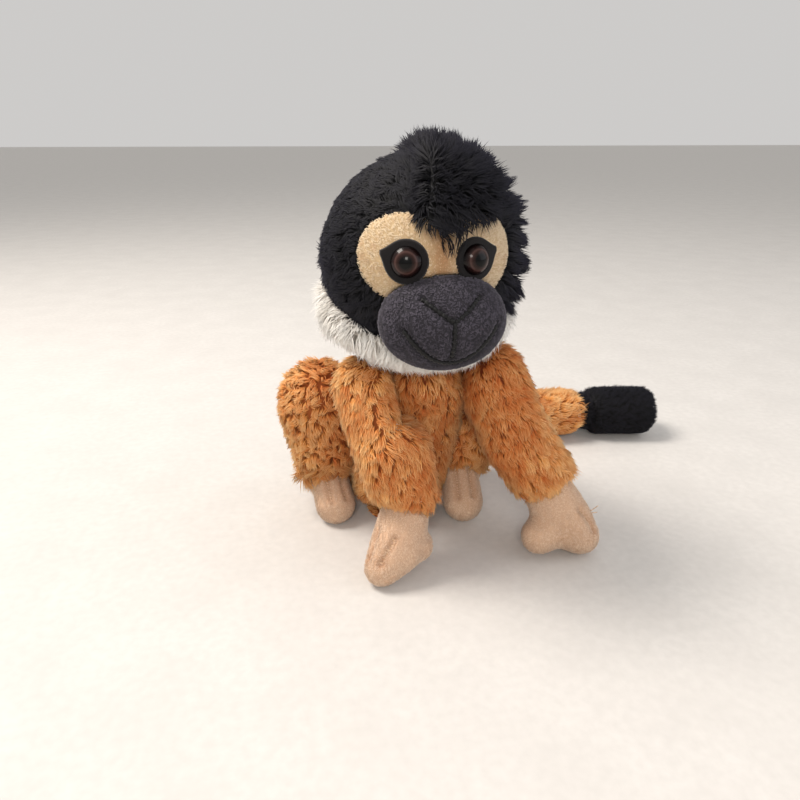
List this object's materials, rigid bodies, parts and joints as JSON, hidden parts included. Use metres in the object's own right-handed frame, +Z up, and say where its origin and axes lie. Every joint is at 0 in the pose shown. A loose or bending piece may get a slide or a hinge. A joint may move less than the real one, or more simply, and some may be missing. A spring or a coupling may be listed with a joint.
{
  "type": "stuffed monkey",
  "caption": "Small soft toy monkey crouching on its seat with arms in front, black hooded head, domed eyes, grey muzzle and a long black-tipped tail.",
  "frame": {"origin": "centre of the flat seat panel's underside, on the surface that the toy sits on", "axes": "+Z up; the toy faces -Y, and its own left side is +X"},
  "size_m": [0.2344, 0.1685, 0.1775],
  "materials": {
    "golden_pile": "golden orange plush pile with redder roots",
    "black_pile": "black shaggy plush pile, blue sheen",
    "white_pile": "soft off-white pile",
    "cream_velboa": "short-pile cream velboa",
    "grey_fleece": "blue-grey fleece",
    "pink_cream_velboa": "short-pile pinkish cream velboa",
    "polyester_fill": "hollow-fibre filling",
    "bean_pouch": "cotton pouch of plastic pellets",
    "tan_thread": "polyester sewing thread",
    "black_thread": "embroidery thread",
    "label_ribbon": "blank satin ribbon",
    "eye_plastic": "polished dark brown plastic with a black pupil",
    "black_felt": "thin black felt",
    "washer_plastic": "natural white plastic"
  },
  "bodies": {
    "torso": {"seat_panel": "golden_pile", "back_panel_right": "golden_pile", "back_panel_left": "golden_pile", "chest_panel": "golden_pile", "torso_stuffing": "polyester_fill", "pellet_pouch": "bean_pouch", "closing_seam": "tan_thread", "care_label": "label_ribbon"},
    "neck": {"neck_tube": "white_pile"},
    "head": {"hood_right": "black_pile", "hood_left": "black_pile", "hood_crest": "black_pile", "face_mask": "cream_velboa", "throat_ruff": "white_pile", "head_stuffing": "polyester_fill", "muzzle": "grey_fleece", "muzzle_stuffing": "polyester_fill", "nose_stitching": "black_thread", "smile_stitching": "black_thread", "eye_right": "eye_plastic", "eye_left": "eye_plastic", "eye_patch_right": "black_felt", "eye_patch_left": "black_felt", "eye_washer_right": "washer_plastic", "eye_washer_left": "washer_plastic"},
    "tail": {"tail_sleeve": "golden_pile", "tail_stuffing": "polyester_fill"},
    "tail_end": {"tail_tip": "black_pile", "tail_tip_stuffing": "polyester_fill", "tail_tip_gather": "black_thread"},
    "arm_right": {"arm_sleeve_right": "golden_pile", "arm_stuffing_right": "polyester_fill"},
    "hand_right": {"hand_right": "pink_cream_velboa", "hand_stuffing_right": "polyester_fill", "finger_stitching_right": "tan_thread"},
    "leg_right": {"leg_sleeve_right": "golden_pile", "leg_stuffing_right": "polyester_fill"},
    "foot_right": {"foot_right": "pink_cream_velboa", "toe_stitching_right": "tan_thread"},
    "arm_left": {"arm_sleeve_left": "golden_pile", "arm_stuffing_left": "polyester_fill"},
    "hand_left": {"hand_left": "pink_cream_velboa", "hand_stuffing_left": "polyester_fill", "finger_stitching_left": "tan_thread"},
    "leg_left": {"leg_sleeve_left": "golden_pile", "leg_stuffing_left": "polyester_fill"},
    "foot_left": {"foot_left": "pink_cream_velboa", "toe_stitching_left": "tan_thread"}
  },
  "joints": [
    {"name": "neck_turn", "type": "hinge", "parent": "torso", "child": "neck", "pos_m": [0.003, -0.03, 0.08], "axis": [0, 0, 1], "range_deg": [-35, 35], "stiffness_Nm_per_rad": 0.3},
    {"name": "head_nod", "type": "hinge", "parent": "neck", "child": "head", "pos_m": [0.003, -0.03, 0.08], "axis": [1, 0, 0], "range_deg": [-12, 12], "stiffness_Nm_per_rad": 0.6},
    {"name": "shoulder_right", "type": "hinge", "parent": "torso", "child": "arm_right", "pos_m": [-0.02, -0.032, 0.08], "axis": [1, 0, 0], "range_deg": [-45, 0], "stiffness_Nm_per_rad": 0.05},
    {"name": "shoulder_left", "type": "hinge", "parent": "torso", "child": "arm_left", "pos_m": [0.035, -0.031, 0.0805], "axis": [1, 0, 0], "range_deg": [-45, 0], "stiffness_Nm_per_rad": 0.05},
    {"name": "wrist_right", "type": "hinge", "parent": "arm_right", "child": "hand_right", "pos_m": [-0.0085, -0.0495, 0.026], "axis": [1, 0, 0], "range_deg": [-15, 12], "stiffness_Nm_per_rad": 0.02},
    {"name": "wrist_left", "type": "hinge", "parent": "arm_left", "child": "hand_left", "pos_m": [0.061, -0.047, 0.0265], "axis": [1, 0, 0], "range_deg": [-15, 12], "stiffness_Nm_per_rad": 0.02},
    {"name": "hip_right", "type": "hinge", "parent": "torso", "child": "leg_right", "pos_m": [-0.034, 0.018, 0.03], "axis": [1, 0, 0], "range_deg": [-8, 6], "stiffness_Nm_per_rad": 0.1},
    {"name": "hip_left", "type": "hinge", "parent": "torso", "child": "leg_left", "pos_m": [0.034, 0.018, 0.03], "axis": [1, 0, 0], "range_deg": [-8, 6], "stiffness_Nm_per_rad": 0.1},
    {"name": "ankle_right", "type": "hinge", "parent": "leg_right", "child": "foot_right", "pos_m": [-0.036, 0.003, 0.018], "axis": [1, 0, 0], "range_deg": [-15, 10], "stiffness_Nm_per_rad": 0.02},
    {"name": "ankle_left", "type": "hinge", "parent": "leg_left", "child": "foot_left", "pos_m": [0.03, -0.007, 0.018], "axis": [1, 0, 0], "range_deg": [-15, 10], "stiffness_Nm_per_rad": 0.02},
    {"name": "tail_swing", "type": "hinge", "parent": "torso", "child": "tail", "pos_m": [0.008, 0.041, 0.017], "axis": [0, 0, 1], "range_deg": [-8, 35], "stiffness_Nm_per_rad": 0.05},
    {"name": "tail_tip_swing", "type": "hinge", "parent": "tail", "child": "tail_end", "pos_m": [0.135, 0.065, 0.0145], "axis": [0, 0, 1], "range_deg": [-10, 10], "stiffness_Nm_per_rad": 0.02}
  ]
}
